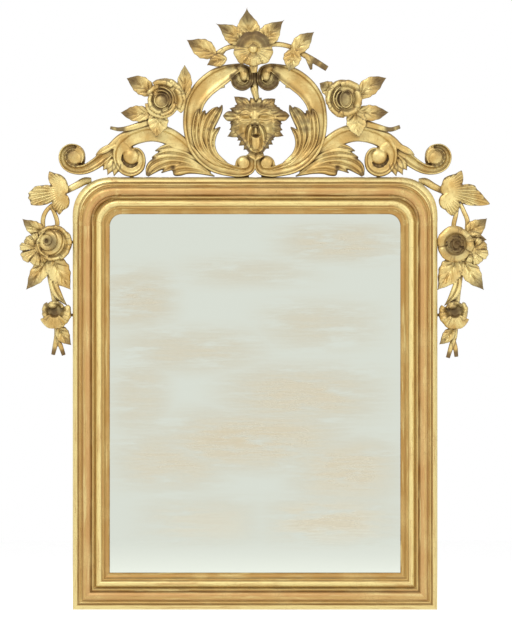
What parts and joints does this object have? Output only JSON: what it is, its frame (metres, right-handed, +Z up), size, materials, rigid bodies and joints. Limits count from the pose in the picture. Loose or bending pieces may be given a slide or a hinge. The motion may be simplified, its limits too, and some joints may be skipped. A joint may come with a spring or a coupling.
{
  "type": "carved wall mirror",
  "caption": "Gilded wall mirror: moulded frame with rounded upper corners, pierced crest of scrolls, roses and a grotesque mask, a flower drop on each side.",
  "frame": {"origin": "middle of the top rail's back face, where the mirror bears on the wall", "axes": "+X to the viewer's right, +Y into the wall, +Z up; the front faces -Y"},
  "size_m": [0.9434, 0.0774, 1.2042],
  "materials": {
    "gilt_moulding": "worn gilding over red bole",
    "gilt_carving": "worn gilding with dust",
    "bare_pine": "aged bare pine",
    "silvered_glass": "hazed old silvering",
    "dark_iron": "dark forged iron"
  },
  "bodies": {
    "mirror": {"backboard_brads": "dark_iron", "backboard_lower": "bare_pine", "backboard_middle": "bare_pine", "backboard_upper": "bare_pine", "batten_screws": "dark_iron", "bottom_rail": "gilt_moulding", "centre_scroll_left": "gilt_carving", "centre_scroll_right": "gilt_carving", "corner_dowels": "bare_pine", "crest_batten_left": "bare_pine", "crest_batten_right": "bare_pine", "crest_dowels": "bare_pine", "crest_rose_leaves_left": "gilt_carving", "crest_rose_leaves_right": "gilt_carving", "crest_rose_left": "gilt_carving", "crest_rose_right": "gilt_carving", "crest_twig_left": "gilt_carving", "crest_twig_right": "gilt_carving", "drop_bloom_left": "gilt_carving", "drop_bloom_right": "gilt_carving", "drop_flower_left": "gilt_carving", "drop_flower_right": "gilt_carving", "drop_leaves_left": "gilt_carving", "drop_leaves_right": "gilt_carving", "drop_pegs": "gilt_carving", "drop_rose_left": "gilt_carving", "drop_rose_right": "gilt_carving", "drop_sprig_left": "gilt_carving", "drop_sprig_right": "gilt_carving", "drop_stems_left": "gilt_carving", "drop_stems_right": "gilt_carving", "glass_blocks": "bare_pine", "hanger_plate_left": "dark_iron", "hanger_plate_right": "dark_iron", "hanger_screws": "dark_iron", "inner_acanthus_left": "gilt_carving", "inner_acanthus_right": "gilt_carving", "left_corner_block": "gilt_moulding", "left_stile": "gilt_moulding", "mask": "gilt_carving", "mask_stem": "gilt_carving", "mirror_plate": "silvered_glass", "mitre_keys": "gilt_moulding", "right_corner_block": "gilt_moulding", "right_stile": "gilt_moulding", "side_acanthus_left": "gilt_carving", "side_acanthus_right": "gilt_carving", "side_scroll_left": "gilt_carving", "side_scroll_right": "gilt_carving", "sprig_leaves_left": "gilt_carving", "sprig_leaves_right": "gilt_carving", "sprig_stem_left": "gilt_carving", "sprig_stem_right": "gilt_carving", "top_flower": "gilt_carving", "top_leaves": "gilt_carving", "top_rail": "gilt_moulding"},
    "ring_left": {"hanger_ring_left": "dark_iron"},
    "ring_right": {"hanger_ring_right": "dark_iron"}
  },
  "joints": [
    {"name": "hanger_ring_left", "type": "hinge", "parent": "mirror", "child": "ring_left", "pos_m": [-0.334, -0.00655, -0.215], "axis": [1, 0, 0], "range_deg": [0, 180]},
    {"name": "hanger_ring_right", "type": "hinge", "parent": "mirror", "child": "ring_right", "pos_m": [0.334, -0.00655, -0.215], "axis": [1, 0, 0], "range_deg": [0, 180]}
  ]
}
